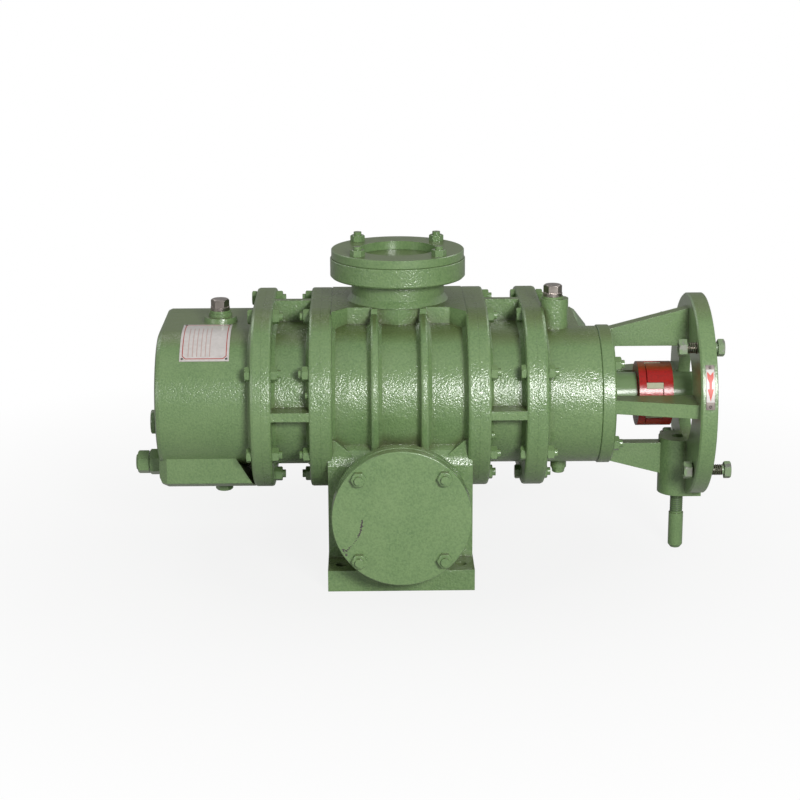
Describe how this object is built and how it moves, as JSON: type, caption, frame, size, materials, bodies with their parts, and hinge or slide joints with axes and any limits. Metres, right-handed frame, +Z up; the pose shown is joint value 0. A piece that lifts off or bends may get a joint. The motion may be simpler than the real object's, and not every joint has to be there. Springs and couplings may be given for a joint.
{
  "type": "roots vacuum pump",
  "caption": "Two-lobe roots vacuum pump with gear cover, drive cover, jaw coupling, motor bracket and support leg.",
  "frame": {"origin": "centre of the foot's lower face, below the middle of the pump chamber", "axes": "+X along the shafts towards the motor flange, +Y to the back, +Z up"},
  "size_m": [0.7328, 0.525, 0.3906],
  "materials": {
    "green_paint": "glossy enamel over cast iron",
    "green_paint_steel": "glossy enamel",
    "rotor_iron": "machined",
    "steel": "ground",
    "bare_steel": "zinc plated, dulled",
    "red_enamel": "glossy red enamel",
    "spider_rubber": "matte",
    "seal_rubber": "matte",
    "gasket": "pressed fibre",
    "glass": "polished"
  },
  "bodies": {
    "pump_body": {"casing": "green_paint", "gear_side_plate": "green_paint", "drive_side_plate": "green_paint", "gear_cover": "green_paint", "drive_cover": "green_paint", "coupling_bracket": "green_paint", "inlet_ring_flange": "green_paint_steel", "inlet_blanking_disc": "green_paint_steel", "inlet_studs": "green_paint_steel", "inlet_nuts": "green_paint_steel", "outlet_blind_flange": "green_paint_steel", "rear_outlet_flange": "green_paint_steel", "outlet_gaskets": "gasket", "outlet_studs": "green_paint_steel", "outlet_nuts": "green_paint_steel", "bearing_outer_rings": "steel", "chamber_seals": "rotor_iron", "drive_lip_seal": "seal_rubber", "gear_cover_bolts": "green_paint_steel", "gear_cover_nuts": "green_paint_steel", "gear_plate_studs": "green_paint_steel", "gear_plate_nuts": "green_paint_steel", "drive_plate_studs": "green_paint_steel", "drive_plate_nuts": "green_paint_steel", "drive_cover_bolts": "green_paint_steel", "drive_cover_nuts": "green_paint_steel", "dowel_pins": "green_paint_steel", "bracket_studs": "green_paint_steel", "bracket_nuts": "green_paint_steel", "motor_bolts": "bare_steel", "motor_nuts": "bare_steel", "gear_filler_plug": "bare_steel", "drive_filler_plug": "bare_steel", "filler_washers": "green_paint_steel", "drain_plugs": "green_paint_steel", "drain_fitting": "green_paint_steel", "drain_cap": "green_paint_steel", "sight_glass_ring": "green_paint_steel", "sight_glass": "glass"},
    "drive_line": {"drive_rotor": "rotor_iron", "drive_shaft": "steel", "drive_timing_gear": "steel", "drive_gear_key": "steel", "drive_bearing_rings": "steel", "drive_bearing_balls": "steel", "drive_shaft_nut": "steel", "coupling_pump_hub": "red_enamel", "coupling_motor_hub": "red_enamel", "coupling_spider": "spider_rubber", "coupling_key": "steel"},
    "driven_line": {"driven_rotor": "rotor_iron", "driven_shaft": "steel", "driven_timing_gear": "steel", "driven_gear_key": "steel", "driven_bearing_rings": "steel", "driven_bearing_balls": "steel", "driven_shaft_nut": "steel", "oil_slinger": "steel"},
    "leg": {"support_leg": "green_paint_steel"}
  },
  "joints": [
    {"name": "drive_rotor_spin", "type": "hinge", "parent": "pump_body", "child": "drive_line", "pos_m": [0, -0.055, 0.2034], "axis": [1, 0, 0], "continuous": true},
    {"name": "driven_rotor_spin", "type": "hinge", "parent": "pump_body", "child": "driven_line", "pos_m": [0, 0.055, 0.2034], "axis": [1, 0, 0], "continuous": true},
    {"name": "support_leg_slide", "type": "slide", "parent": "pump_body", "child": "leg", "axis": [0, 0, 1], "range_m": [0, 0.022]}
  ],
  "couplings": [
    {"joint": "driven_rotor_spin", "follows": "drive_rotor_spin", "ratio": -1}
  ]
}
